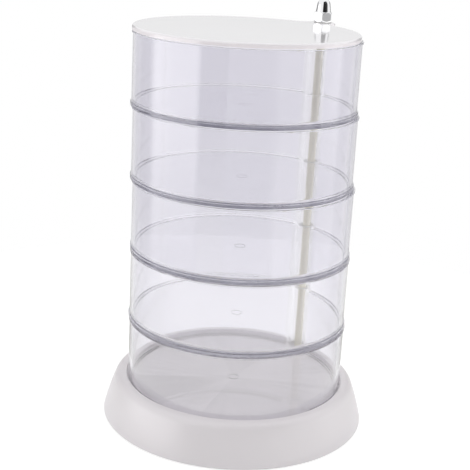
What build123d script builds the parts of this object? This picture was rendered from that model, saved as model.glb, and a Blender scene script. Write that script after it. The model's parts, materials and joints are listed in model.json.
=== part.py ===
from build123d import *

import os
from math import cos, radians, sin, sqrt

# Rotating organizer: five clear round trays and a lid, each with a knuckle on one upright steel rod.
# The lowest tray sits in a flared white base, and the trays above it and the lid swing about the rod.
# Lengths are millimetres. +Z is up, the origin is on the ground at the middle of the base,
# and the front of the object faces -Y.

os.makedirs("parts", exist_ok=True)

# Trays
tray_count = 5
tray_radius = 75.0
tray_height = 47.9
tray_wall = 2.0
tray_floor = 2.4
flange_step = 0.6
flange_edge = 0.4
rim_height = 0.9
rim_edge = 0.3
inside_draft = 0.4
inside_corner = 2.4
gate_radius = 4.0
gate_line = 0.7
gate_depth = 0.4

# Knuckles, the gap from each to its tray's wall, and the blend of the web that fills it
knuckle_radius = 6.8
knuckle_gap = 0.8
web_blend = 3.0
bore_lead_in = 0.4

# Rod, and where it stands round the base
rod_radius = 3.0
rod_bearing = 53.5
rod_chamfer = 0.8
running_clearance = 0.08
fixed_clearance = 0.05

# How far the trays, from the lowest up, and the lid stand swung about the rod, in degrees
tray_swings = (0, -0.25, -0.45, -1.5, -2.4)
lid_swing = -3.1

# Washers on the rod, and the free play beside each knuckle
washer_thickness = 0.5
washer_radius = 6.0
axial_play = 0.1

# Lid
lid_setback = 0.6
lid_thickness = 3.0
lid_edge = 1.4
lid_ear_radius = 9.0
lid_blend = 9.0
lid_skin = 2.0
lid_rim = 3.0

# Base: its recess for the lowest tray, the lip round that, and the skirt that flares out below
foot_drop = 0.8
base_wall = 2.4
base_edge = 0.5
seat_height = 22.75
seat_clearance = 0.4
recess_depth = 5.75
lip_width = 6.6
lip_edge = 0.5
shoulder_blend = 6.0
skirt_setback = 9.0
skirt_bulge = 0.7
rib_count = 8
rib_thickness = 1.6
hub_radius = 14.0

# Boss under the rod, its pocket, and the nut and washer that hold the rod down
boss_margin = 1.8
boss_blend = 2.5
boss_grip = 9.0
pocket_clearance = 0.5
rod_nut_width = 10.0
rod_nut_height = 5.0
rod_nut_chamfer = 0.5
rod_washer_radius = 6.0
rod_washer_thickness = 1.2
rod_end = 1.5

# Cover under the base, with its screws and feet
cover_thickness = 2.2
cover_inset = 0.5
cover_clearance = 0.4
screw_count = 4
screw_setback = 28.6
screw_radius = 1.5
screw_length = 10.0
screw_head_radius = 2.9
screw_head_height = 1.6
head_clearance = 0.1
slot_width = 0.8
slot_depth = 0.7
post_wall = 2.6
post_hole_spare = 1.0
foot_count = 4
foot_setback = 18.6
foot_radius = 8.0
foot_pocket = 0.7
foot_clearance = 0.2
foot_edge = 0.4

# Cap nut, and the bearing of one of its corners
cap_width = 12.0
cap_turn = 22.5
cap_hex_height = 6.5
cap_height = 16.0
cap_neck_radius = 5.3
cap_tip_radius = 4.5
cap_tip_drop = 3.6
cap_chamfer = 0.8
cap_bore_depth = 10.5
cap_bore_spare = 1.0

# One overrun serves all cuts
overrun = 1.0

# Places and sizes worked out from the ones above
wall_radius = tray_radius - flange_step
inside_radius = wall_radius - tray_wall
rod_reach = wall_radius + knuckle_gap + knuckle_radius
rod_x = rod_reach * cos(radians(rod_bearing))
rod_y = rod_reach * sin(radians(rod_bearing))
bore_radius = rod_radius + running_clearance
grip_radius = rod_radius + fixed_clearance
tray_pitch = tray_height + washer_thickness + 2 * axial_play
tray_bottoms = [seat_height + level * tray_pitch for level in range(tray_count)]
lid_bottom = seat_height + tray_count * tray_pitch
lid_top = lid_bottom + lid_thickness
lid_radius = tray_radius - lid_setback
lip_height = seat_height + recess_depth
shoulder_radius = tray_radius + seat_clearance + lip_width
base_radius = shoulder_radius + skirt_setback
hollow_radius = base_radius - base_wall
screw_circle = hollow_radius - screw_setback
foot_circle = hollow_radius - foot_setback
boss_radius = knuckle_radius + boss_margin
pocket_top = seat_height - boss_grip
pocket_radius = rod_washer_radius + pocket_clearance
rod_nut_top = pocket_top - rod_washer_thickness
rod_nut_bottom = rod_nut_top - rod_nut_height
rod_bottom = rod_nut_bottom - rod_end
cover_bottom = foot_drop + cover_inset
cover_top = cover_bottom + cover_thickness
rib_top = seat_height - base_wall
post_radius = screw_radius + post_wall
screw_top = cover_bottom + screw_length
foot_top = cover_bottom + foot_pocket
cap_washer_bottom = lid_top + axial_play
cap_bottom = cap_washer_bottom + washer_thickness
cap_top = cap_bottom + cap_height
cap_bore_top = cap_bottom + cap_bore_depth
rod_top = cap_bore_top - cap_bore_spare

rod_point = (rod_x, rod_y)
rod_axis = Axis((rod_x, rod_y, 0), (0, 0, 1))
rod_section = Plane(origin=(rod_x, rod_y, 0), x_dir=(1, 0, 0), z_dir=(0, -1, 0))


def eared_disc(disc_radius, ear_radius, blend):
    """Disc with a round ear at the rod, a neck as wide as the ear, and a blend on each side of it."""
    with BuildSketch() as outline:
        Circle(disc_radius)
        with Locations(rod_point):
            Circle(ear_radius)
        with Locations(Location((rod_x / 2, rod_y / 2), rod_bearing)):
            Rectangle(rod_reach, 2 * ear_radius)
        neck_corners = outline.vertices().filter_by(lambda corner: corner.center().length > disc_radius / 2)
        fillet(neck_corners.sort_by(lambda corner: corner.center().length)[0:2], blend)
    return outline.sketch


def tray_outline(step):
    """Outline of a tray and its knuckle, standing out from the wall by a step all round."""
    return eared_disc(wall_radius + step, knuckle_radius + step, web_blend - step)


def swung(height, swing):
    """Place of a piece drawn on the Z axis, raised to a height and swung about the rod."""
    return Location((rod_x, rod_y, height), (0, 0, swing)) * Location((-rod_x, -rod_y, 0))


def hexagon_on_rod(width, turn=0):
    """Hexagon at the rod, with a given distance across its flats and a corner at a given bearing."""
    with BuildSketch() as outline:
        with Locations(rod_point):
            RegularPolygon(width / 2, side_count=6, major_radius=False, rotation=turn)
    return outline.sketch


def washer_on_rod(bottom, outer_radius, thickness, hole_radius):
    """Flat washer at the rod."""
    with BuildPart() as washer:
        with BuildSketch(Plane.XY.offset(bottom)):
            with Locations(rod_point):
                Circle(outer_radius)
                Circle(hole_radius, mode=Mode.SUBTRACT)
        extrude(amount=thickness)
    return washer.part


def corner_cone(bottom, height, width, chamfer_size):
    """Solid at the rod that a hexagonal nut is cut to, so that the corners of both ends are turned off."""
    corner_radius = width / sqrt(3)
    with BuildPart() as cone:
        with BuildSketch(rod_section):
            with BuildLine():
                Polyline(
                    (0, bottom),
                    (corner_radius - chamfer_size, bottom),
                    (corner_radius, bottom + chamfer_size),
                    (corner_radius, bottom + height - chamfer_size),
                    (corner_radius - chamfer_size, bottom + height),
                    (0, bottom + height),
                    close=True,
                )
            make_face()
        revolve(axis=rod_axis)
    return cone.part


def screw_form(spare, top):
    """Countersunk screw on the Z axis from the cover's underside to a height, grown by a spare."""
    with BuildPart() as form:
        with BuildSketch(Plane.XZ):
            with BuildLine():
                Polyline(
                    (0, cover_bottom),
                    (screw_head_radius + spare, cover_bottom),
                    (screw_radius + spare, cover_bottom + screw_head_height),
                    (screw_radius + spare, top),
                    (0, top),
                    close=True,
                )
            make_face()
        revolve(axis=Axis.Z)
    return form.part


def skirt_line(inward):
    """Curve of the base's flared skirt from its lower edge to the lip, moved inward by a wall."""
    return ThreePointArc(
        (base_radius - inward, foot_drop),
        ((base_radius + shoulder_radius) / 2 + skirt_bulge - inward, (foot_drop + lip_height) / 2),
        (shoulder_radius - inward, lip_height),
    )


# Band round the foot of a tray, with both outer edges bevelled
with BuildPart() as flange_band:
    with BuildSketch():
        add(tray_outline(flange_step))
    extrude(amount=tray_floor)
    chamfer(flange_band.faces().sort_by(Axis.Z)[0].edges(), flange_edge)
    chamfer(flange_band.faces().sort_by(Axis.Z)[-1].edges(), flange_edge)

# Band round the rim of a tray, with its upper edge bevelled
with BuildPart() as rim_band:
    with BuildSketch(Plane.XY.offset(tray_height - rim_height)):
        add(tray_outline(flange_step))
    extrude(amount=rim_height)
    chamfer(rim_band.faces().sort_by(Axis.Z)[-1].edges(), rim_edge)

# The one moulding that all the trays share, with its floor at height zero
with BuildPart() as tray_moulding:
    with BuildSketch():
        add(tray_outline(0))
    extrude(amount=tray_height)
    add(flange_band.part)
    add(rim_band.part)
    with BuildSketch(Plane.XZ) as inside:
        with BuildLine():
            Polyline(
                (0, tray_floor),
                (inside_radius, tray_floor),
                (inside_radius + inside_draft, tray_height),
                (inside_radius + inside_draft, tray_height + overrun),
                (0, tray_height + overrun),
                close=True,
            )
        make_face()
        fillet(inside.vertices().group_by(Axis.Y)[0].sort_by(Axis.X)[-1], inside_corner)
    revolve(axis=Axis.Z, mode=Mode.SUBTRACT)
    with BuildSketch(rod_section):
        with BuildLine():
            Polyline(
                (0, 0),
                (bore_radius + bore_lead_in, 0),
                (bore_radius, bore_lead_in),
                (bore_radius, tray_height - bore_lead_in),
                (bore_radius + bore_lead_in, tray_height),
                (0, tray_height),
                close=True,
            )
        make_face()
    revolve(axis=rod_axis, mode=Mode.SUBTRACT)
    with BuildSketch():
        Circle(gate_radius)
        Circle(gate_radius - gate_line, mode=Mode.SUBTRACT)
    extrude(amount=gate_depth, mode=Mode.SUBTRACT)

# Trays from the lowest up, and the washer that lies on each one's knuckle
for number, (bottom, swing) in enumerate(zip(tray_bottoms, tray_swings), start=1):
    with BuildPart() as tray:
        with Locations(swung(bottom, swing)):
            add(tray_moulding.part)
    tray.part.label = f"tray_{number}"
    export_step(tray.part, f"parts/tray_{number}.step")
    with BuildPart() as knuckle_washer:
        add(washer_on_rod(bottom + tray_height + axial_play, washer_radius, washer_thickness, bore_radius))
    knuckle_washer.part.label = f"knuckle_washer_{number}"
    export_step(knuckle_washer.part, f"parts/knuckle_washer_{number}.step")

# Lid plate with its underside at height zero, hollowed a little underneath inside a deeper rim
with BuildPart() as lid_plate:
    with BuildSketch():
        add(eared_disc(lid_radius, lid_ear_radius, lid_blend))
    extrude(amount=lid_thickness)
    fillet(lid_plate.faces().sort_by(Axis.Z)[-1].edges(), lid_edge)
    with BuildSketch():
        Circle(lid_radius - lid_rim)
    extrude(amount=lid_thickness - lid_skin, mode=Mode.SUBTRACT)
    with Locations((rod_x, rod_y, lid_thickness)):
        Hole(bore_radius)

# Lid on top of the stack
with BuildPart() as lid:
    with Locations(swung(lid_bottom, lid_swing)):
        add(lid_plate.part)
lid.part.label = "lid"
export_step(lid.part, "parts/lid.step")

# Hollow inside the base, less the ribs, the hub, the screw posts and the boss that stay in it
with BuildPart() as base_hollow:
    with BuildSketch(Plane.XZ):
        with BuildLine():
            skirt_line(base_wall)
            Polyline(
                (shoulder_radius - base_wall, lip_height),
                (0, lip_height),
                (0, foot_drop),
                (hollow_radius, foot_drop),
            )
        make_face()
    revolve(axis=Axis.Z)
    with BuildSketch(Plane.XY.offset(rib_top)):
        Circle(base_radius)
    extrude(amount=lip_height, mode=Mode.SUBTRACT)
    with BuildSketch(Plane.XY.offset(cover_top)):
        with PolarLocations(0, rib_count, start_angle=rod_bearing + 180 / rib_count):
            Rectangle(base_radius, rib_thickness, align=(Align.MIN, Align.CENTER))
        Circle(hub_radius)
        Circle(hub_radius - rib_thickness, mode=Mode.SUBTRACT)
        with PolarLocations(screw_circle, screw_count, start_angle=rod_bearing):
            Circle(post_radius)
    extrude(amount=rib_top - cover_top, mode=Mode.SUBTRACT)
    with BuildSketch(Plane.XY.offset(foot_drop)):
        Circle(hollow_radius)
    extrude(amount=cover_top - foot_drop)
    with BuildSketch(Plane.XY.offset(foot_drop)):
        with Locations(rod_point):
            Circle(boss_radius)
    extrude(amount=lip_height, mode=Mode.SUBTRACT)

# Base shell: the flared skirt, the recess for the lowest tray, and the boss that carries the rod
with BuildPart() as base_shell:
    with BuildSketch(Plane.XZ) as shell_section:
        with BuildLine():
            skirt_line(0)
            Polyline(
                (shoulder_radius, lip_height),
                (0, lip_height),
                (0, foot_drop),
                (base_radius, foot_drop),
            )
        make_face()
        fillet(shell_section.vertices().group_by(Axis.Y)[-1].sort_by(Axis.X)[-1], shoulder_blend)
    revolve(axis=Axis.Z)
    with BuildSketch(Plane.XY.offset(foot_drop)):
        with Locations(rod_point):
            Circle(boss_radius)
    extrude(amount=seat_height - foot_drop)
    boss_seams = base_shell.edges(Select.LAST).filter_by(GeomType.BSPLINE)
    fillet(boss_seams.sort_by(Axis.Z)[:-1], boss_blend)
    chamfer(base_shell.faces().sort_by(Axis.Z)[0].edges(), base_edge)
    with BuildSketch(Plane.XY.offset(seat_height)):
        add(tray_outline(flange_step + seat_clearance))
    extrude(amount=lip_height, mode=Mode.SUBTRACT)
    lip_circles = base_shell.edges().group_by(Axis.Z)[-1].filter_by(GeomType.CIRCLE)
    fillet(lip_circles.sort_by(SortBy.RADIUS)[-2], lip_edge)
    add(base_hollow.part, mode=Mode.SUBTRACT)
    with BuildSketch(Plane.XY.offset(foot_drop)):
        with Locations(rod_point):
            Circle(pocket_radius)
    extrude(amount=pocket_top - foot_drop, mode=Mode.SUBTRACT)
    with Locations((rod_x, rod_y, seat_height)):
        Hole(grip_radius)
    with PolarLocations(screw_circle, screw_count, start_angle=rod_bearing):
        add(screw_form(fixed_clearance, screw_top + post_hole_spare), mode=Mode.SUBTRACT)
base_shell.part.label = "base_shell"
export_step(base_shell.part, "parts/base_shell.step")

# Cover that closes the base from below, notched round the boss
with BuildPart() as base_cover:
    with BuildSketch(Plane.XY.offset(cover_bottom)):
        Circle(hollow_radius - cover_clearance)
        with Locations(rod_point):
            Circle(boss_radius + cover_clearance, mode=Mode.SUBTRACT)
    extrude(amount=cover_thickness)
    with BuildSketch(Plane.XY.offset(cover_bottom)):
        with PolarLocations(foot_circle, foot_count, start_angle=rod_bearing + 180 / foot_count):
            Circle(foot_radius + foot_clearance)
    extrude(amount=foot_pocket, mode=Mode.SUBTRACT)
    with PolarLocations(screw_circle, screw_count, start_angle=rod_bearing):
        add(screw_form(head_clearance, screw_top), mode=Mode.SUBTRACT)
base_cover.part.label = "base_cover"
export_step(base_cover.part, "parts/base_cover.step")

# One cover screw, with the slot across its head
with BuildPart() as cover_screw:
    add(screw_form(0, screw_top))
    with BuildSketch(Plane.XY.offset(cover_bottom)):
        Rectangle(2 * screw_head_radius + overrun, slot_width)
    extrude(amount=slot_depth, mode=Mode.SUBTRACT)

# The four screws that hold the cover
with BuildPart() as cover_screws:
    with PolarLocations(screw_circle, screw_count, start_angle=rod_bearing):
        add(cover_screw.part)
cover_screws.part.label = "cover_screws"
export_step(cover_screws.part, "parts/cover_screws.step")

# Rubber feet in the pockets of the cover
foot_places = PolarLocations(foot_circle, foot_count, start_angle=rod_bearing + 180 / foot_count)
for number, place in enumerate(foot_places, start=1):
    with BuildPart() as foot:
        with BuildSketch():
            with Locations(place.position):
                Circle(foot_radius)
        extrude(amount=foot_top)
        chamfer(foot.faces().sort_by(Axis.Z)[0].edges(), foot_edge)
    foot.part.label = f"foot_{number}"
    export_step(foot.part, f"parts/foot_{number}.step")

# Rod through the boss and all the knuckles
with BuildPart() as pivot_rod:
    with BuildSketch(Plane.XY.offset(rod_bottom)):
        with Locations(rod_point):
            Circle(rod_radius)
    extrude(amount=rod_top - rod_bottom)
    chamfer(pivot_rod.edges().filter_by(GeomType.CIRCLE), rod_chamfer)
pivot_rod.part.label = "pivot_rod"
export_step(pivot_rod.part, "parts/pivot_rod.step")

# Washer and nut that hold the rod down, in the pocket under the boss
with BuildPart() as rod_washer:
    add(washer_on_rod(rod_nut_top, rod_washer_radius, rod_washer_thickness, grip_radius))
rod_washer.part.label = "rod_washer"
export_step(rod_washer.part, "parts/rod_washer.step")

with BuildPart() as rod_nut:
    with BuildSketch(Plane.XY.offset(rod_nut_bottom)):
        add(hexagon_on_rod(rod_nut_width))
    extrude(amount=rod_nut_height)
    add(
        corner_cone(rod_nut_bottom, rod_nut_height, rod_nut_width, rod_nut_chamfer),
        mode=Mode.INTERSECT,
    )
    with Locations((rod_x, rod_y, rod_nut_top)):
        Hole(grip_radius)
rod_nut.part.label = "rod_nut"
export_step(rod_nut.part, "parts/rod_nut.step")

# Washer between the lid and the cap nut
with BuildPart() as cap_washer:
    add(washer_on_rod(cap_washer_bottom, washer_radius, washer_thickness, bore_radius))
cap_washer.part.label = "cap_washer"
export_step(cap_washer.part, "parts/cap_washer.step")

# Cap nut: a hexagon with its corners turned off, under a tapered dome, bored blind from below
with BuildPart() as cap_nut:
    with BuildSketch(Plane.XY.offset(cap_bottom)):
        add(hexagon_on_rod(cap_width, cap_turn))
    extrude(amount=cap_hex_height)
    add(corner_cone(cap_bottom, cap_hex_height, cap_width, cap_chamfer), mode=Mode.INTERSECT)
    with BuildSketch(rod_section):
        with BuildLine():
            Polyline(
                (0, cap_top),
                (0, cap_bottom),
                (cap_neck_radius, cap_bottom),
                (cap_neck_radius, cap_bottom + cap_hex_height),
                (cap_tip_radius, cap_top - cap_tip_drop),
            )
            TangentArc((0, cap_top), (cap_tip_radius, cap_top - cap_tip_drop), tangent=(1, 0))
        make_face()
    revolve(axis=rod_axis)
    with BuildSketch(Plane.XY.offset(cap_bottom)):
        with Locations(rod_point):
            Circle(grip_radius)
    extrude(amount=cap_bore_depth, mode=Mode.SUBTRACT)
cap_nut.part.label = "cap_nut"
export_step(cap_nut.part, "parts/cap_nut.step")
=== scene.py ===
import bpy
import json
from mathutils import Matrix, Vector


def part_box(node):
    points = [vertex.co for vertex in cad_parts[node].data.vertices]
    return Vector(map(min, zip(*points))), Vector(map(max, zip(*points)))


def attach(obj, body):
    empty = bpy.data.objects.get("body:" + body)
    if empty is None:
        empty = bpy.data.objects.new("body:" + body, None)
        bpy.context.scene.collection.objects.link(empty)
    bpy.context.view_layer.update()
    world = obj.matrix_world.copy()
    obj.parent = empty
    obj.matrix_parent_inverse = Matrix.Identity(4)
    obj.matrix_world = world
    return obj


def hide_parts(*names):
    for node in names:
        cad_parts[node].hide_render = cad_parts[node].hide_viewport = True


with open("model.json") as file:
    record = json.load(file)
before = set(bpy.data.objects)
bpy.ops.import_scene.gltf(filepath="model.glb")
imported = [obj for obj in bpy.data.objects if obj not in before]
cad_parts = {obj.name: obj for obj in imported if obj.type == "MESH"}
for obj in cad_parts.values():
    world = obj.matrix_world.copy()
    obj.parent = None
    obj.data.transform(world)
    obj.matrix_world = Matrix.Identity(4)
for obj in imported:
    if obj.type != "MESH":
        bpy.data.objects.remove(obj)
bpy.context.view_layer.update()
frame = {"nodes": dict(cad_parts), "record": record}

"""Looks of a rotating organizer: clear swinging trays and a white lid on a steel rod, over a flared base.

Lengths are metres, +Z is up, and the front of the object faces -Y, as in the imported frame.
"""

import json
import logging
import math
from dataclasses import dataclass
from enum import Enum
from typing import Iterable

import bpy
import numpy as np
from mathutils import Matrix, Vector

Colour = tuple[float, float, float]
Place = tuple[float, float, float]
Span = tuple[float, float]
Socket = bpy.types.NodeSocket

WHITE: Colour = (1.0, 1.0, 1.0)

# The Mix node has sockets of one name for each kind of value, so its colours are picked by number.
MIX_FACTOR, MIX_FIRST_COLOUR, MIX_SECOND_COLOUR = 0, 6, 7
MIX_COLOUR_OUTPUT = 2

# A ray whose count of passes through clear plastic is below this has made none.
FIRST_PASS = 0.5

log = logging.getLogger("organizer")


class Slot(Enum):
    """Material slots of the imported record."""

    BASE = "white_plastic"
    COVER = "cover_plastic"
    SCREW = "screw_steel"
    FOOT = "foot_rubber"
    ROD = "rod_steel"
    TRAY = "clear_plastic"
    WASHER = "washer_plastic"
    LID = "lid_plastic"
    CAP = "cap_chrome"


class Ray(Enum):
    """Kinds of ray that a material can tell apart."""

    CAMERA = "Is Camera Ray"
    SHADOW = "Is Shadow Ray"
    DIFFUSE = "Is Diffuse Ray"
    GLOSSY = "Is Glossy Ray"
    TRANSMISSION = "Is Transmission Ray"


class NodeSheet:
    """Node tree of one material or world, with short calls to add and join nodes."""

    def __init__(self, tree: bpy.types.NodeTree) -> None:
        """Empties the node tree of a material or a world and keeps it."""
        self.tree = tree
        tree.nodes.clear()

    def add(self, kind: str, settings: dict[str, str] | None = None, **values: object) -> bpy.types.Node:
        """Adds one node.

        Args:
            kind: Blender's type name of the node, without its ShaderNode prefix.
            settings: Properties of the node itself.
            values: Socket values by name, with an underscore for each space.

        Returns:
            The new node.
        """
        node = self.tree.nodes.new(f"ShaderNode{kind}")
        for name, value in (settings or {}).items():
            setattr(node, name, value)
        for name, value in values.items():
            node.inputs[name.replace("_", " ")].default_value = value
        return node

    def join(self, source: Socket, target: Socket) -> None:
        """Links an output socket to an input socket."""
        self.tree.links.new(source, target)

    def calculate(self, operation: str, first: Socket, second: Socket | float | None = None) -> Socket:
        """Works out one value from one or two others.

        Args:
            operation: Name of the operation in Blender's Math node.
            first: Output that holds the first value.
            second: Output that holds the second value, or a plain number, where the operation takes two.

        Returns:
            The output.
        """
        node = self.add("Math", {"operation": operation})
        self.join(first, node.inputs[0])
        if isinstance(second, Socket):
            self.join(second, node.inputs[1])
        elif second is not None:
            node.inputs[1].default_value = second
        return node.outputs["Value"]

    def larger(self, first: Socket, second: Socket) -> Socket:
        """Gives the larger of two values."""
        return self.calculate("MAXIMUM", first, second)

    def along(self, vector: Socket, axis: str) -> Socket:
        """Takes one axis of a vector.

        Args:
            vector: The vector output.
            axis: X, Y or Z.

        Returns:
            The value along the axis.
        """
        split = self.add("SeparateXYZ")
        self.join(vector, split.inputs["Vector"])
        return split.outputs[axis]

    def object_place(self, scale: Place = (1.0, 1.0, 1.0)) -> Socket:
        """Gives Object coordinates, scaled along each axis.

        Args:
            scale: Scale along X, Y and Z.

        Returns:
            The vector output.
        """
        place = self.add("TexCoord")
        scaled = self.add("Mapping", {"vector_type": "POINT"}, Scale=scale)
        self.join(place.outputs["Object"], scaled.inputs["Vector"])
        return scaled.outputs["Vector"]

    def spread(self, value: Socket, to: Span, within: Span = (0.0, 1.0)) -> Socket:
        """Maps a value evenly from one range to another, and holds it at the ends.

        Args:
            value: Output to map.
            to: Results at the start and at the end of the range.
            within: Start and end of the range.

        Returns:
            The mapped output.
        """
        mapped = self.add("MapRange", From_Min=within[0], From_Max=within[1], To_Min=to[0], To_Max=to[1])
        self.join(value, mapped.inputs["Value"])
        return mapped.outputs["Result"]

    def blend(self, factor: Socket, low: Colour, high: Colour) -> Socket:
        """Blends two plain colours by a factor.

        Args:
            factor: Output that runs from 0 to 1.
            low: Colour at 0.
            high: Colour at 1.

        Returns:
            The blended colour.
        """
        ramp = self.add("ValToRGB")
        ramp.color_ramp.elements[0].color = (*low, 1.0)
        ramp.color_ramp.elements[1].color = (*high, 1.0)
        self.join(factor, ramp.inputs["Fac"])
        return ramp.outputs["Color"]

    def lay_over(self, factor: Socket, low: Colour, high: Socket) -> Socket:
        """Mixes a plain colour and a colour output.

        Args:
            factor: Share of the colour output.
            low: Colour at 0.
            high: Colour output at 1.

        Returns:
            The mixed colour.
        """
        mixed = self.add("Mix", {"data_type": "RGBA"})
        mixed.inputs[MIX_FIRST_COLOUR].default_value = (*low, 1.0)
        self.join(factor, mixed.inputs[MIX_FACTOR])
        self.join(high, mixed.inputs[MIX_SECOND_COLOUR])
        return mixed.outputs[MIX_COLOUR_OUTPUT]

    def choose(self, factor: Socket, first: Socket, second: Socket) -> Socket:
        """Mixes two shaders.

        Args:
            factor: Share of the second shader.
            first: Shader output at 0.
            second: Shader output at 1.

        Returns:
            The mixed shader.
        """
        either = self.add("MixShader")
        self.join(factor, either.inputs["Fac"])
        self.join(first, either.inputs[1])
        self.join(second, either.inputs[2])
        return either.outputs["Shader"]

    def rays(self, *kinds: Ray) -> Socket:
        """Tells some kinds of ray from the rest.

        Args:
            kinds: The kinds of ray.

        Returns:
            An output that is 1 for rays of these kinds and 0 for others.
        """
        path = self.add("LightPath")
        found = path.outputs[kinds[0].value]
        for kind in kinds[1:]:
            found = self.larger(found, path.outputs[kind.value])
        return found

    def outer_reflections(self) -> Socket:
        """Tells reflected rays that haven't passed through clear plastic from all others.

        Returns:
            An output that is 1 for these rays and 0 for others.
        """
        path = self.add("LightPath")
        outside = self.calculate("LESS_THAN", path.outputs["Transmission Depth"], FIRST_PASS)
        return self.calculate("MULTIPLY", outside, path.outputs[Ray.GLOSSY.value])

    def long_way(self, bounces: float) -> Socket:
        """Gives 1 for a ray that has bounced more often than a number of times, and 0 for others."""
        path = self.add("LightPath")
        return self.calculate("GREATER_THAN", path.outputs["Ray Depth"], bounces)

    def levelness(self) -> Socket:
        """Gives 0 on an upright face and 1 on a level one."""
        geometry = self.add("NewGeometry")
        return self.calculate("ABSOLUTE", self.along(geometry.outputs["Normal"], "Z"))

    def lowness(self, top: float, power: float, share: float) -> Socket:
        """Gives a share at the ground that falls away to 0 at a height, as a power of the way left to it.

        Args:
            top: Height at which it is 0.
            power: How fast it falls away.
            share: Value at the ground.

        Returns:
            The output.
        """
        height = self.along(self.object_place(), "Z")
        way_left = self.spread(height, (1.0, 0.0), (0.0, top))
        return self.spread(self.calculate("POWER", way_left, power), (0.0, share))

    def nearness(self, axis_place: Span, fade: Span) -> Socket:
        """Gives 1 close to an upright axis and 0 away from it.

        Args:
            axis_place: X and Y of the axis.
            fade: Distances up to which it is 1 and from which it is 0.

        Returns:
            The output.
        """
        gap = self.add("VectorMath", {"operation": "DISTANCE"})
        gap.inputs[1].default_value = (*axis_place, 0.0)
        self.join(self.object_place((1.0, 1.0, 0.0)), gap.inputs[0])
        return self.spread(gap.outputs["Value"], (1.0, 0.0), fade)


def new_material(name: str) -> tuple[bpy.types.Material, NodeSheet, bpy.types.Node]:
    """Makes a material that holds an output node alone.

    Args:
        name: Name of the material.

    Returns:
        The material, its node sheet and its output node.
    """
    made = bpy.data.materials.new(name)
    made.use_nodes = True
    sheet = NodeSheet(made.node_tree)
    return made, sheet, sheet.add("OutputMaterial")


def new_object(name: str, data: bpy.types.ID) -> bpy.types.Object:
    """Puts a mesh, a lamp or a camera into the scene.

    Args:
        name: Name of the object.
        data: The mesh, lamp or camera.

    Returns:
        The object.
    """
    made = bpy.data.objects.new(name, data)
    bpy.context.scene.collection.objects.link(made)
    return made


@dataclass(frozen=True)
class Finish:
    """Surface finish of a moulded or machined piece, made of noise at the piece's own scale.

    The colour drifts between two tones, and the roughness between its two values. Upright faces take the
    Upright faces take the painted edge light where there is one, a lighter colour that stands for light
    falling on them.
    """

    name: str
    slot: Slot
    colour: Colour
    second_colour: Colour
    mottle_scale: float
    roughness: Span
    grain_scale: float
    grain_height: float
    mottle_detail: float = 3.0
    grain_detail: float = 2.0
    relief_strength: float = 0.5
    metallic: float = 0.0
    coat: float = 0.0
    coat_roughness: float = 0.05
    stretch: Place = (1.0, 1.0, 1.0)
    ior: float = 1.5
    painted_edge_light: Colour | None = None

    def material(self) -> bpy.types.Material:
        """Makes the material.

        Returns:
            The material.
        """
        made, sheet, output = new_material(self.name)
        self.finish_output(sheet, self.surface(sheet), output)
        return made

    def surface(self, sheet: NodeSheet) -> bpy.types.Node:
        """Builds the Principled shader with its colour, roughness and bump.

        Args:
            sheet: Node sheet of the material.

        Returns:
            The Principled node.
        """
        surface = sheet.add(
            "BsdfPrincipled",
            Metallic=self.metallic,
            Coat_Weight=self.coat,
            Coat_Roughness=self.coat_roughness,
            IOR=self.ior,
        )
        place = sheet.object_place(self.stretch)
        grain = sheet.add("TexNoise", Scale=self.grain_scale, Detail=self.grain_detail)
        relief = sheet.add("Bump", Strength=self.relief_strength, Distance=self.grain_height)
        sheet.join(place, grain.inputs["Vector"])
        sheet.join(self.colour_output(sheet, place), surface.inputs["Base Color"])
        sheet.join(sheet.spread(grain.outputs["Fac"], self.roughness), surface.inputs["Roughness"])
        sheet.join(grain.outputs["Fac"], relief.inputs["Height"])
        sheet.join(relief.outputs["Normal"], surface.inputs["Normal"])
        return surface

    def colour_output(self, sheet: NodeSheet, place: Socket) -> Socket:
        """Gives the colour, which drifts between two tones, with painted edge light on upright faces where
        there is one.

        Args:
            sheet: Node sheet of the material.
            place: Coordinates to draw the drift on.

        Returns:
            The colour output.
        """
        mottle = sheet.add("TexNoise", Scale=self.mottle_scale, Detail=self.mottle_detail)
        sheet.join(place, mottle.inputs["Vector"])
        drift = sheet.blend(mottle.outputs["Fac"], self.colour, self.second_colour)
        # Painted light: upright faces take a lighter colour that stands for light falling on them.
        if self.painted_edge_light is None:
            return drift
        return sheet.lay_over(sheet.levelness(), self.painted_edge_light, drift)

    def finish_output(self, sheet: NodeSheet, surface: bpy.types.Node, output: bpy.types.Node) -> None:
        """Joins the Principled node to the material's output node."""
        sheet.join(surface.outputs["BSDF"], output.inputs["Surface"])


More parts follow.
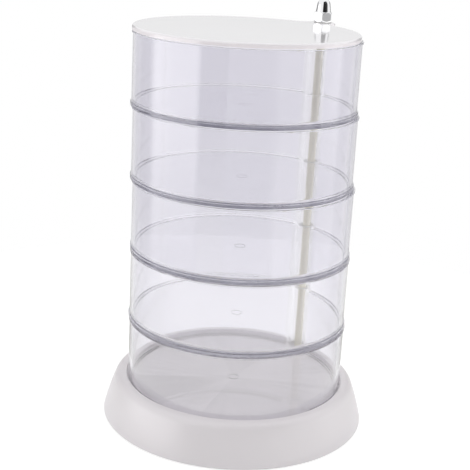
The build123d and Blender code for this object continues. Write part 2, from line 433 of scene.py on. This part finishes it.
@dataclass(frozen=True)
class ClearFinish(Finish):
    """Clear moulded plastic, a little smoky through its depth, with painted shade on its upright walls that
    grows lighter towards the base.

    The first colour is the walls' painted shade, and the second tints the level faces. Rays pass straight at
    the knuckle round the rod and at its root in the wall, whose reaches are where the clear place starts and
    stops fading.
    """

    depth_colour: Colour = (0.30, 0.29, 0.39)
    density: float = 12.0
    transmission: float = 1.0
    lamp_share: Colour = (0.995, 0.995, 0.995)
    longest_way: float = 16.0
    rod_place: Span = (0.048775, 0.065916)
    knuckle_reach: Span = (0.0095, 0.0105)
    root_place: Span = (0.0475, 0.0553)
    root_reach: Span = (0.0065, 0.0085)
    knuckle_share: float = 0.9
    painted_shade_full_height: float = 0.25
    painted_shade_power: float = 1.5
    painted_shade_loss: float = 0.6

    def knuckle(self, sheet: NodeSheet) -> Socket:
        """Gives 1 at the knuckle round the rod and at its root in the wall, and 0 elsewhere."""
        around_rod = sheet.nearness(self.rod_place, self.knuckle_reach)
        return sheet.larger(around_rod, sheet.nearness(self.root_place, self.root_reach))

    def colour_output(self, sheet: NodeSheet, place: Socket) -> Socket:
        """Paints shade on the walls, lighter towards the base, and leaves level faces and the knuckle nearly
        clear.

        Args:
            sheet: Node sheet of the material.
            place: Coordinates of the plain finish's drift, which clear plastic doesn't have.

        Returns:
            The colour output.
        """
        # Painted light: the walls' painted shade fades towards the base, so the lower trays look lighter.
        painted_light_low = sheet.lowness(self.painted_shade_full_height, self.painted_shade_power, self.painted_shade_loss)
        clearer = sheet.larger(self.knuckle(sheet), painted_light_low)
        return sheet.blend(sheet.larger(sheet.levelness(), clearer), self.colour, self.second_colour)

    def finish_output(self, sheet: NodeSheet, surface: bpy.types.Node, output: bpy.types.Node) -> None:
        """Lets rays through, lets lamps light what lies inside, and absorbs a little through the depth.

        Args:
            sheet: Node sheet of the material.
            surface: The Principled node.
            output: The material's output node.
        """
        surface.inputs["Transmission Weight"].default_value = self.transmission
        open_way = sheet.add("BsdfTransparent", Color=(*self.lamp_share, 1.0))
        passing = sheet.larger(sheet.rays(Ray.SHADOW, Ray.DIFFUSE), sheet.long_way(self.longest_way))
        passing = sheet.larger(passing, sheet.spread(self.knuckle(sheet), (0.0, self.knuckle_share)))
        mixed = sheet.choose(passing, surface.outputs["BSDF"], open_way.outputs["BSDF"])
        depth = sheet.add("VolumeAbsorption", Color=(*self.depth_colour, 1.0), Density=self.density)
        sheet.join(mixed, output.inputs["Surface"])
        sheet.join(depth.outputs["Volume"], output.inputs["Volume"])


FINISHES: tuple[Finish, ...] = (
    Finish(
        "satin_white",
        Slot.BASE,
        colour=(0.69, 0.66, 0.68),
        second_colour=(0.71, 0.68, 0.70),
        mottle_scale=22.0,
        roughness=(0.34, 0.40),
        grain_scale=900.0,
        grain_height=2e-5,
        coat=0.15,
    ),
    Finish(
        "matt_white",
        Slot.COVER,
        colour=(0.74, 0.73, 0.73),
        second_colour=(0.77, 0.76, 0.76),
        mottle_scale=30.0,
        roughness=(0.6, 0.72),
        grain_scale=1400.0,
        grain_height=6e-5,
    ),
    Finish(
        "zinc_plate",
        Slot.SCREW,
        colour=(0.60, 0.61, 0.63),
        second_colour=(0.68, 0.68, 0.68),
        mottle_scale=260.0,
        roughness=(0.24, 0.38),
        grain_scale=1500.0,
        grain_height=2e-5,
        metallic=1.0,
    ),
    Finish(
        "soft_rubber",
        Slot.FOOT,
        colour=(0.60, 0.60, 0.60),
        second_colour=(0.66, 0.66, 0.65),
        mottle_scale=90.0,
        roughness=(0.72, 0.86),
        grain_scale=1800.0,
        grain_height=8e-5,
    ),
    Finish(
        "drawn_steel",
        Slot.ROD,
        colour=(0.99, 0.95, 0.78),
        second_colour=(0.998, 0.965, 0.82),
        mottle_scale=300.0,
        roughness=(0.42, 0.50),
        grain_scale=2400.0,
        grain_height=1e-5,
        metallic=0.12,
        coat=0.6,
        ior=1.9,
        stretch=(1.0, 1.0, 0.02),
    ),
    ClearFinish(
        "clear_styrene",
        Slot.TRAY,
        # The first colour is painted shade on the upright walls, and the second tints the level faces.
        colour=(0.825, 0.815, 0.862),
        second_colour=(0.985, 0.985, 0.99),
        mottle_scale=18.0,
        roughness=(0.01, 0.02),
        grain_scale=30.0,
        grain_height=1e-4,
        stretch=(1.0, 1.0, 0.2),
        ior=1.49,
    ),
    Finish(
        "nylon_white",
        Slot.WASHER,
        colour=(0.74, 0.74, 0.72),
        second_colour=(0.78, 0.78, 0.76),
        mottle_scale=200.0,
        roughness=(0.35, 0.45),
        grain_scale=1200.0,
        grain_height=2e-5,
    ),
    Finish(
        "polished_white",
        Slot.LID,
        colour=(0.79, 0.78, 0.80),
        second_colour=(0.81, 0.80, 0.82),
        mottle_scale=18.0,
        roughness=(0.05, 0.08),
        grain_scale=300.0,
        grain_height=4e-6,
        coat=0.1,
        # Painted light: the lid's upright rim is painted lighter than its top.
        painted_edge_light=(0.90, 0.85, 0.88),
    ),
    Finish(
        "mirror_chrome",
        Slot.CAP,
        colour=(0.86, 0.86, 0.88),
        second_colour=(0.90, 0.90, 0.91),
        mottle_scale=120.0,
        roughness=(0.02, 0.04),
        grain_scale=700.0,
        grain_height=1.5e-5,
        metallic=1.0,
    ),
)


class FinishShelf:
    """Materials of the finishes, one for each slot of the record."""

    def __init__(self, finishes: Iterable[Finish]) -> None:
        """Makes one material for each finish."""
        self.materials = {finish.slot: finish.material() for finish in finishes}

    def dress(self, piece: bpy.types.Object, slot: Slot) -> None:
        """Gives a piece the material of a slot.

        Args:
            piece: A CAD node or a new piece.
            slot: The record's slot.
        """
        piece.data.materials.clear()
        piece.data.materials.append(self.materials[slot])
        log.info("%s takes %s", piece.name, slot.value)

    def dress_nodes(self) -> None:
        """Gives each CAD node the material of its slot in the record."""
        for part in frame["record"]["subparts"]:
            self.dress(frame["nodes"][part["node"]], Slot(part["material_slot"]))


@dataclass(frozen=True)
class CapNut:
    """Chromed cap nut with softened corners and edges, which stands for the plain one of the frame."""

    node: str = "cap_nut"
    flats: int = 6
    flat_radius: float = 0.006
    hex_height: float = 0.0065
    neck_radius: float = 0.0053
    tip_radius: float = 0.0045
    tip_drop: float = 0.0036
    chamfer: float = 0.0008
    bore_radius: float = 0.00305
    bore_depth: float = 0.0105
    bore_end_radius: float = 1e-4
    corner_turn: float = math.radians(22.5)
    corner_power: float = 70.0
    edge_power: float = 60.0
    pole_turn: float = 0.02
    around: int = 240
    hex_rows: int = 40
    neck_rows: int = 10
    dome_rows: int = 48

    def hexagon_radius(self, angles: np.ndarray) -> np.ndarray:
        """Radius of a hexagon with rounded corners.

        The six flats each ask for cos(angle - flat) / flat_radius, and a high power of their sum picks the
        nearest one with a small round between it and the next.

        Args:
            angles: Angles about the nut's axis.

        Returns:
            The radius at each angle.
        """
        apart = 360.0 / self.flats
        facing = self.corner_turn + np.radians(0.5 * apart + apart * np.arange(self.flats))
        asked = np.clip(np.cos(angles[None, :] - facing[:, None]), 0.0, None) / self.flat_radius
        return (asked**self.corner_power).sum(axis=0) ** (-1.0 / self.corner_power)

    def hexagon_rows(self, angles: np.ndarray) -> tuple[np.ndarray, np.ndarray]:
        """Rows up the hexagon, cut by a cone at each end that turns its corners off.

        The heights crowd towards both ends, as half a cosine wave does. The radius is a soft lesser of the
        hexagon's and the cone's: their powers of -edge_power are summed, and the root of the sum is taken.

        Args:
            angles: Angles about the nut's axis.

        Returns:
            Radii, one row for each height, and the heights.
        """
        share = 0.5 - 0.5 * np.cos(np.linspace(0.0, math.pi, self.hex_rows))
        heights = share * self.hex_height
        corner = self.flat_radius / math.cos(math.radians(180.0 / self.flats)) - self.chamfer
        cone = corner + np.minimum(heights, self.hex_height - heights)
        flat = self.hexagon_radius(angles)
        both = flat[None, :] ** -self.edge_power + cone[:, None] ** -self.edge_power
        return both ** (-1.0 / self.edge_power), heights

    def dome_line(self, top: float) -> tuple[np.ndarray, np.ndarray]:
        """Radii and heights up the tapered neck and over the round tip, short of the pole.

        The tip is a cap of a ball, whose radius is tip_radius squared plus tip_drop squared, over twice
        tip_drop, so that it is tip_radius wide where the neck ends, at tip_drop below the top.

        Args:
            top: Height of the tip.

        Returns:
            Radii and heights.
        """
        ball = (self.tip_radius**2 + self.tip_drop**2) / (2.0 * self.tip_drop)
        widest = math.asin(self.tip_radius / ball)
        turn = np.linspace(widest, self.pole_turn, self.dome_rows)
        neck = np.linspace(0.0, 1.0, self.neck_rows)[:-1]
        neck_radii = self.neck_radius + neck * (self.tip_radius - self.neck_radius)
        neck_heights = self.hex_height + neck * (top - self.tip_drop - self.hex_height)
        radii = np.concatenate([neck_radii, ball * np.sin(turn)])
        heights = np.concatenate([neck_heights, top - ball + ball * np.cos(turn)])
        return radii, heights

    def build(self) -> bpy.types.Object:
        """Makes the nut as one closed surface: its bore, its foot, the hexagon, the neck and the dome.

        Each point is the nut's axis plus its ring's radius times the cosine and the sine of its angle, at its
        ring's height.

        Returns:
            The nut.
        """
        low, high = (np.array(corner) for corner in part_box(self.node))
        centre = 0.5 * (low + high)
        angles = np.linspace(0.0, 2.0 * math.pi, self.around, endpoint=False)
        ring = np.ones_like(angles)
        hex_radii, hex_heights = self.hexagon_rows(angles)
        dome_radii, dome_heights = self.dome_line(high[2] - low[2])
        bore_radii = np.array([self.bore_end_radius, self.bore_radius, self.bore_radius])
        bore_heights = np.array([self.bore_depth, self.bore_depth, 0.0])
        ledge_radii = 0.5 * (hex_radii[-1] + self.neck_radius)
        radii = np.vstack([bore_radii[:, None] * ring, hex_radii, ledge_radii, dome_radii[:, None] * ring])
        heights = np.concatenate([bore_heights, hex_heights, [self.hex_height], dome_heights])
        across = centre[0] + radii * np.cos(angles)
        deep = centre[1] + radii * np.sin(angles)
        points = np.stack([across, deep, low[2] + heights[:, None] * ring], axis=-1)
        piece = closed_surface("chromed_cap_nut", points.reshape(-1, 3), len(heights), self.around)
        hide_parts(self.node)
        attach(piece, "root")
        return piece


def closed_surface(name: str, points: np.ndarray, rows: int, around: int) -> bpy.types.Object:
    """Makes a smooth closed object from rings of points, with a lid on the first and the last ring.

    Args:
        name: Name of the object.
        points: The points, ring after ring.
        rows: Number of rings.
        around: Points in each ring.

    Returns:
        The object, linked to the scene.
    """
    row, step = np.meshgrid(np.arange(rows - 1), np.arange(around), indexing="ij")
    after = (step + 1) % around
    start, above = row * around, (row + 1) * around
    quads = np.stack([start + step, start + after, above + after, above + step], -1)
    first = np.arange(around)[::-1].tolist()
    last = ((rows - 1) * around + np.arange(around)).tolist()
    mesh = bpy.data.meshes.new(name)
    mesh.from_pydata(points.tolist(), [], quads.reshape(-1, 4).tolist() + [first, last])
    mesh.polygons.foreach_set("use_smooth", np.ones(len(mesh.polygons), bool))
    mesh.update()
    log.info("%s has %d faces", name, len(mesh.polygons))
    return new_object(name, mesh)


@dataclass(frozen=True)
class PhotoCamera:
    """Camera at the photograph's viewing angle, a little turned about its own line of sight."""

    place: Place = (0.0, -0.7175, 0.34875)
    down: float = math.radians(16.992)
    bearing: float = math.radians(-0.340)
    roll: float = math.radians(3.055)
    lens: float = 84.28

    def build(self) -> bpy.types.Object:
        """Makes the camera, with its axes worked out from its bearing, its tilt and its roll.

        Returns:
            The camera object.
        """
        level = math.cos(self.down)
        ahead = Vector(
            (
                math.sin(self.bearing) * level,
                math.cos(self.bearing) * level,
                -math.sin(self.down),
            )
        )
        level_right = ahead.cross(Vector((0.0, 0.0, 1.0))).normalized()
        level_up = level_right.cross(ahead)
        right = math.cos(self.roll) * level_right + math.sin(self.roll) * level_up
        up = math.cos(self.roll) * level_up - math.sin(self.roll) * level_right
        data = bpy.data.cameras.new("photo_camera")
        data.lens = self.lens
        camera = new_object("photo_camera", data)
        turn = Matrix((right, up, -ahead)).transposed().to_4x4()
        camera.matrix_world = Matrix.Translation(Vector(self.place)) @ turn
        bpy.context.scene.camera = camera
        return camera


@dataclass(frozen=True)
class Softbox:
    """Rectangular studio lamp that faces the object and isn't seen in it or through it."""

    name: str
    place: Place
    size: Span
    radiance: float
    target: Place = (0.0, 0.0, 0.14)

    def build(self) -> bpy.types.Object:
        """Makes the lamp, whose power is its radiance times pi times its area.

        Returns:
            The lamp object.
        """
        data = bpy.data.lights.new(self.name, "AREA")
        data.shape = "RECTANGLE"
        data.size, data.size_y = self.size
        data.energy = self.radiance * math.pi * self.size[0] * self.size[1]
        lamp = new_object(self.name, data)
        lamp.location = self.place
        towards = Vector(self.target) - Vector(self.place)
        lamp.rotation_mode = "QUATERNION"
        lamp.rotation_quaternion = towards.to_track_quat("-Z", "Y")
        lamp.visible_glossy = False
        lamp.visible_transmission = False
        return lamp


@dataclass(frozen=True)
class Card:
    """Curved studio card, light or dark, that only the object's reflections see.

    Its bearings are degrees about the object from the camera's side, positive to the right. Its radiance
    goes from the first value to the second between two places along an axis. Its soft ends are the degrees
    over which it comes in at its first bearing and goes out at its last, and are never less than the hard
    end, so that nothing is divided by 0.
    """

    name: str
    bearings: Span
    heights: Span
    radiance: Span
    fade: Span = (-0.35, 0.10)
    fade_axis: str = "Z"
    tint: Colour = WHITE
    distances: Span = (0.8, 0.8)
    soft_ends: Span = (0.0, 0.0)
    hard_end: float = 1e-3
    steps: int = 48

    def build(self) -> bpy.types.Object:
        """Makes the card as a strip about the object, upright, or flat where its two distances differ.

        Each edge is its distance times the sine and the cosine of the bearings, at its height.

        Returns:
            The card.
        """
        bearings = np.radians(np.linspace(*self.bearings, self.steps))
        edge = np.stack([np.sin(bearings), -np.cos(bearings)], axis=-1)
        low, high = (
            np.column_stack([distance * edge, np.full(self.steps, height)])
            for distance, height in zip(self.distances, self.heights)
        )
        start = np.arange(self.steps - 1)
        faces = np.stack([start, start + 1, start + 1 + self.steps, start + self.steps], axis=-1)
        mesh = bpy.data.meshes.new(self.name)
        mesh.from_pydata(np.vstack([low, high]).tolist(), [], faces.tolist())
        cover = mesh.attributes.new("cover", "FLOAT", "POINT")
        cover.data.foreach_set("value", np.tile(self.cover(), 2))
        mesh.materials.append(self.material())
        card = new_object(self.name, mesh)
        return card

    def cover(self) -> np.ndarray:
        """Works out how much of the card is there along its bearings.

        It rises from 0 to 1 over the first soft end in a smooth step, which is three times the square of the
        way less twice its cube, and falls to 0 again over the last one.

        Returns:
            The cover at each step.
        """
        bearings = np.linspace(*self.bearings, self.steps)
        gaps = np.stack([bearings - self.bearings[0], self.bearings[1] - bearings])
        ends = np.maximum(np.array(self.soft_ends), self.hard_end)
        share = np.clip(gaps / ends[:, None], 0.0, 1.0)
        return (share * share * (3.0 - 2.0 * share)).min(axis=0)

    def material(self) -> bpy.types.Material:
        """Makes a material that shines into outer reflections and is clear to every other ray.

        Returns:
            The material.
        """
        made, sheet, output = new_material(self.name)
        clear = sheet.add("BsdfTransparent")
        shine = sheet.add("Emission", Color=(*self.tint, 1.0))
        cover = sheet.add("Attribute", {"attribute_name": "cover"})
        way = sheet.along(sheet.object_place(), self.fade_axis)
        sheet.join(sheet.spread(way, self.radiance, self.fade), shine.inputs["Strength"])
        shown = sheet.calculate("MULTIPLY", sheet.outer_reflections(), cover.outputs["Fac"])
        mixed = sheet.choose(shown, clear.outputs["BSDF"], shine.outputs["Emission"])
        sheet.join(mixed, output.inputs["Surface"])
        return made


LAMPS: tuple[Softbox, ...] = (
    Softbox("overhead_box", place=(0.1, -0.1, 1.3), size=(1.0, 1.0), radiance=0.95),
    Softbox("left_box", place=(-0.95, -0.18, 0.45), size=(1.1, 0.9), radiance=0.95),
    Softbox("right_box", place=(0.95, -0.05, 0.45), size=(1.1, 0.9), radiance=0.85),
)

CARDS: tuple[Card, ...] = (
    Card("left_high_card", bearings=(-97.0, -44.0), heights=(0.175, 0.40), radiance=(2.4, 2.4)),
    Card(
        "left_card",
        bearings=(-108.0, -40.0),
        heights=(-0.115, 0.175),
        radiance=(1.5, 4.2),
        fade=(-0.115, 0.10),
        soft_ends=(18.0, 8.0),
    ),
    Card(
        "left_low_card",
        bearings=(-108.0, -40.0),
        heights=(-0.6, -0.115),
        radiance=(2.9, 1.5),
        fade=(-0.35, -0.115),
        soft_ends=(18.0, 8.0),
    ),
    Card(
        "left_frame",
        bearings=(-124.0, -100.0),
        heights=(-0.6, 0.30),
        radiance=(0.45, 0.45),
        distances=(0.82, 0.82),
    ),
    Card("left_edge", bearings=(-160.0, -124.0), heights=(-0.6, 0.22), radiance=(0.7, 0.7)),
    Card("right_edge", bearings=(132.0, 160.0), heights=(-0.6, 0.22), radiance=(0.6, 0.6)),
    Card("behind_lid", bearings=(160.0, 200.0), heights=(0.27, 0.70), radiance=(0.80, 0.80)),
    Card(
        "front_gap",
        bearings=(-43.0, -16.0),
        heights=(-0.6, 0.30),
        radiance=(3.0, 0.2),
        tint=(1.0, 1.0, 0.9),
    ),
    Card(
        "front_low_card",
        bearings=(-16.0, 28.0),
        heights=(-0.6, -0.05),
        radiance=(3.3, 1.0),
        fade=(-0.25, -0.05),
    ),
    Card("right_high_gap", bearings=(28.0, 70.0), heights=(0.175, 0.30), radiance=(0.5, 0.5)),
    Card(
        "right_gap",
        bearings=(22.0, 72.0),
        heights=(-0.6, 0.175),
        radiance=(3.0, 2.0),
        tint=(1.0, 1.0, 0.98),
        soft_ends=(14.0, 4.0),
    ),
    Card("right_high_card", bearings=(78.0, 132.0), heights=(0.175, 0.30), radiance=(1.2, 1.2)),
    Card(
        "right_card",
        bearings=(76.0, 110.0),
        heights=(-0.6, 0.175),
        radiance=(1.7, 2.6),
        fade=(-0.01, 0.10),
        soft_ends=(4.0, 12.0),
    ),
    Card("dark_card", bearings=(-10.0, 46.0), heights=(0.22, 1.9), radiance=(0.02, 0.02)),
    Card("dark_high_card", bearings=(46.0, 72.0), heights=(0.375, 1.9), radiance=(0.02, 0.02)),
    Card("nut_right_card", bearings=(48.0, 72.0), heights=(0.31, 0.37), radiance=(1.4, 1.4)),
    Card(
        "table_card",
        bearings=(-180.0, 180.0),
        heights=(0.0005, 0.0006),
        radiance=(3.2, 0.7),
        fade=(-0.20, 0.08),
        fade_axis="Y",
        tint=(1.0, 1.0, 0.94),
        distances=(0.135, 0.40),
    ),
    Card("nut_left_edge", bearings=(-160.0, -124.0), heights=(0.22, 0.48), radiance=(0.15, 0.15)),
    Card("nut_right_edge", bearings=(124.0, 160.0), heights=(0.22, 0.48), radiance=(0.15, 0.15)),
)


@dataclass(frozen=True)
class Studio:
    """Round white table, white surroundings, the lamps and the cards."""

    table_radius: float = 0.40
    table_sides: int = 96
    table_colour: Colour = (0.72, 0.72, 0.72)
    table_glow: float = 0.80
    table_share: float = 0.30
    sky_high: float = 0.86
    sky_low: float = 0.60
    clear_bounces: int = 48
    open_bounces: int = 64

    def build_world(self) -> None:
        """Makes surroundings that are white to the camera, metal and glass, and a soft sky to the rest."""
        world = bpy.data.worlds.new("studio")
        world.use_nodes = True
        bpy.context.scene.world = world
        sheet = NodeSheet(world.node_tree)
        place = sheet.add("TexCoord")
        sky = sheet.add("Background", Strength=1.0)
        white = sheet.add("Background", Color=(*WHITE, 1.0), Strength=1.0)
        output = sheet.add("OutputWorld")
        height = sheet.along(place.outputs["Generated"], "Z")
        shade = sheet.blend(height, (self.sky_low,) * 3, (self.sky_high,) * 3)
        sheet.join(shade, sky.inputs["Color"])
        shown = sheet.rays(Ray.CAMERA, Ray.GLOSSY, Ray.TRANSMISSION)
        mixed = sheet.choose(shown, sky.outputs["Background"], white.outputs["Background"])
        sheet.join(mixed, output.inputs["Surface"])

    def table_material(self) -> bpy.types.Material:
        """Makes a material that is white where it is seen, and still takes a share of the shadow there.

        Returns:
            The material.
        """
        made, sheet, output = new_material("table_white")
        plain = sheet.add("BsdfDiffuse", Color=(*self.table_colour, 1.0))
        shaded = sheet.add("BsdfDiffuse", Color=(*(self.table_share,) * 3, 1.0))
        glow = sheet.add("Emission", Color=(*WHITE, 1.0), Strength=self.table_glow)
        seen = sheet.add("AddShader")
        sheet.join(shaded.outputs["BSDF"], seen.inputs[0])
        sheet.join(glow.outputs["Emission"], seen.inputs[1])
        shown = sheet.rays(Ray.CAMERA, Ray.GLOSSY, Ray.TRANSMISSION)
        mixed = sheet.choose(shown, plain.outputs["BSDF"], seen.outputs["Shader"])
        sheet.join(mixed, output.inputs["Surface"])
        return made

    def build_table(self) -> bpy.types.Object:
        """Makes the table top, one round face whose rim is the radius times the cosine and the sine.

        Returns:
            The table top.
        """
        angles = np.linspace(0.0, 2.0 * math.pi, self.table_sides, endpoint=False)
        rim = self.table_radius * np.stack([np.cos(angles), np.sin(angles), np.zeros_like(angles)], axis=-1)
        mesh = bpy.data.meshes.new("table_top")
        mesh.from_pydata(rim.tolist(), [], [np.arange(self.table_sides).tolist()])
        mesh.materials.append(self.table_material())
        table = new_object("table_top", mesh)
        return table

    def let_rays_through(self) -> None:
        """Gives rays enough bounces to pass every clear wall and to run along the trays' floors."""
        cycles = bpy.context.scene.cycles
        cycles.max_bounces = self.clear_bounces
        cycles.transmission_bounces = self.clear_bounces
        cycles.glossy_bounces = self.clear_bounces
        cycles.transparent_max_bounces = self.open_bounces

    def build(self) -> None:
        """Makes the world, the table, the lamps and the cards."""
        self.let_rays_through()
        self.build_world()
        self.build_table()
        for item in (*LAMPS, *CARDS):
            item.build()


def main() -> None:
    """Builds the camera, the studio, the finishes and the new pieces."""
    logging.basicConfig(level=logging.INFO, format="%(name)s: %(message)s")
    bpy.context.scene.view_settings.view_transform = "Standard"
    PhotoCamera().build()
    Studio().build()
    shelf = FinishShelf(FINISHES)
    shelf.dress_nodes()
    shelf.dress(CapNut().build(), Slot.CAP)


if __name__ == "__main__":
    main()
